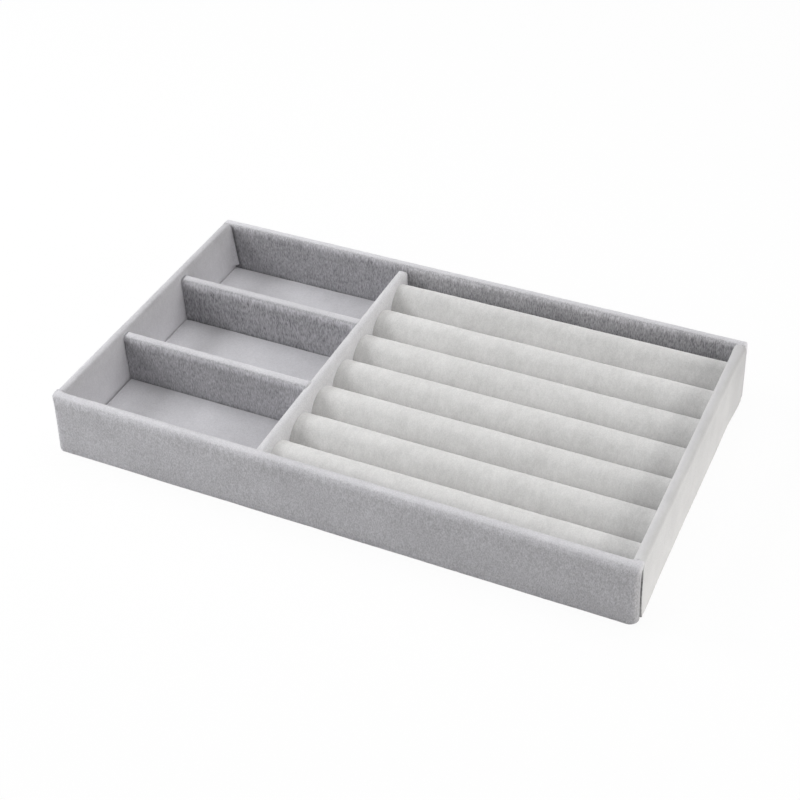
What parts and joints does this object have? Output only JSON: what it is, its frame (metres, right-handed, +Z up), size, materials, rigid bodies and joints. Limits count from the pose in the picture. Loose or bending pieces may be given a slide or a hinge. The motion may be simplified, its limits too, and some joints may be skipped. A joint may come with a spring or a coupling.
{
  "type": "jewelry tray",
  "caption": "Shallow rectangular jewelry tray of velvet-wrapped boards, with open compartments on the left and a lift-out block of soft ring rolls on the right.",
  "frame": {"origin": "middle of the underside of the felt, on the surface that the tray stands on", "axes": "+X along the length, from the compartments to the ring rolls; +Y from front to back; +Z up"},
  "size_m": [0.3, 0.173, 0.036],
  "materials": {
    "grey_velvet": "short soft pile, cool grey, matt with a pale sheen at grazing angles",
    "pale_velvet": "short soft pile, pale warm grey, matt",
    "felt": "thin pressed felt, matt grey",
    "fibreboard": "raw fibreboard, matt",
    "card": "grey-brown board, matt",
    "foam": "open-cell foam, off-white, matt"
  },
  "bodies": {
    "tray": {"base_felt": "felt", "base_board": "fibreboard", "front_wall_board": "fibreboard", "front_wall_cover": "grey_velvet", "back_wall_board": "fibreboard", "back_wall_cover": "grey_velvet", "left_wall_board": "fibreboard", "left_wall_cover": "grey_velvet", "right_wall_board": "fibreboard", "right_wall_cover": "grey_velvet", "divider_board": "fibreboard", "divider_cover": "grey_velvet", "front_partition_board": "fibreboard", "front_partition_cover": "grey_velvet", "rear_partition_board": "fibreboard", "rear_partition_cover": "grey_velvet", "front_floor_card": "card", "front_floor_velvet": "grey_velvet", "middle_floor_card": "card", "middle_floor_velvet": "grey_velvet", "rear_floor_card": "card", "rear_floor_velvet": "grey_velvet"},
    "ring_roll_insert": {"roll_backing_card": "card", "ring_roll_1_foam": "foam", "ring_roll_1_velvet": "pale_velvet", "ring_roll_2_foam": "foam", "ring_roll_2_velvet": "pale_velvet", "ring_roll_3_foam": "foam", "ring_roll_3_velvet": "pale_velvet", "ring_roll_4_foam": "foam", "ring_roll_4_velvet": "pale_velvet", "ring_roll_5_foam": "foam", "ring_roll_5_velvet": "pale_velvet", "ring_roll_6_foam": "foam", "ring_roll_6_velvet": "pale_velvet", "ring_roll_7_foam": "foam", "ring_roll_7_velvet": "pale_velvet"}
  },
  "joints": [
    {"name": "insert_lift", "type": "slide", "parent": "tray", "child": "ring_roll_insert", "axis": [0, 0, 1], "range_m": [0, 0.05]}
  ]
}
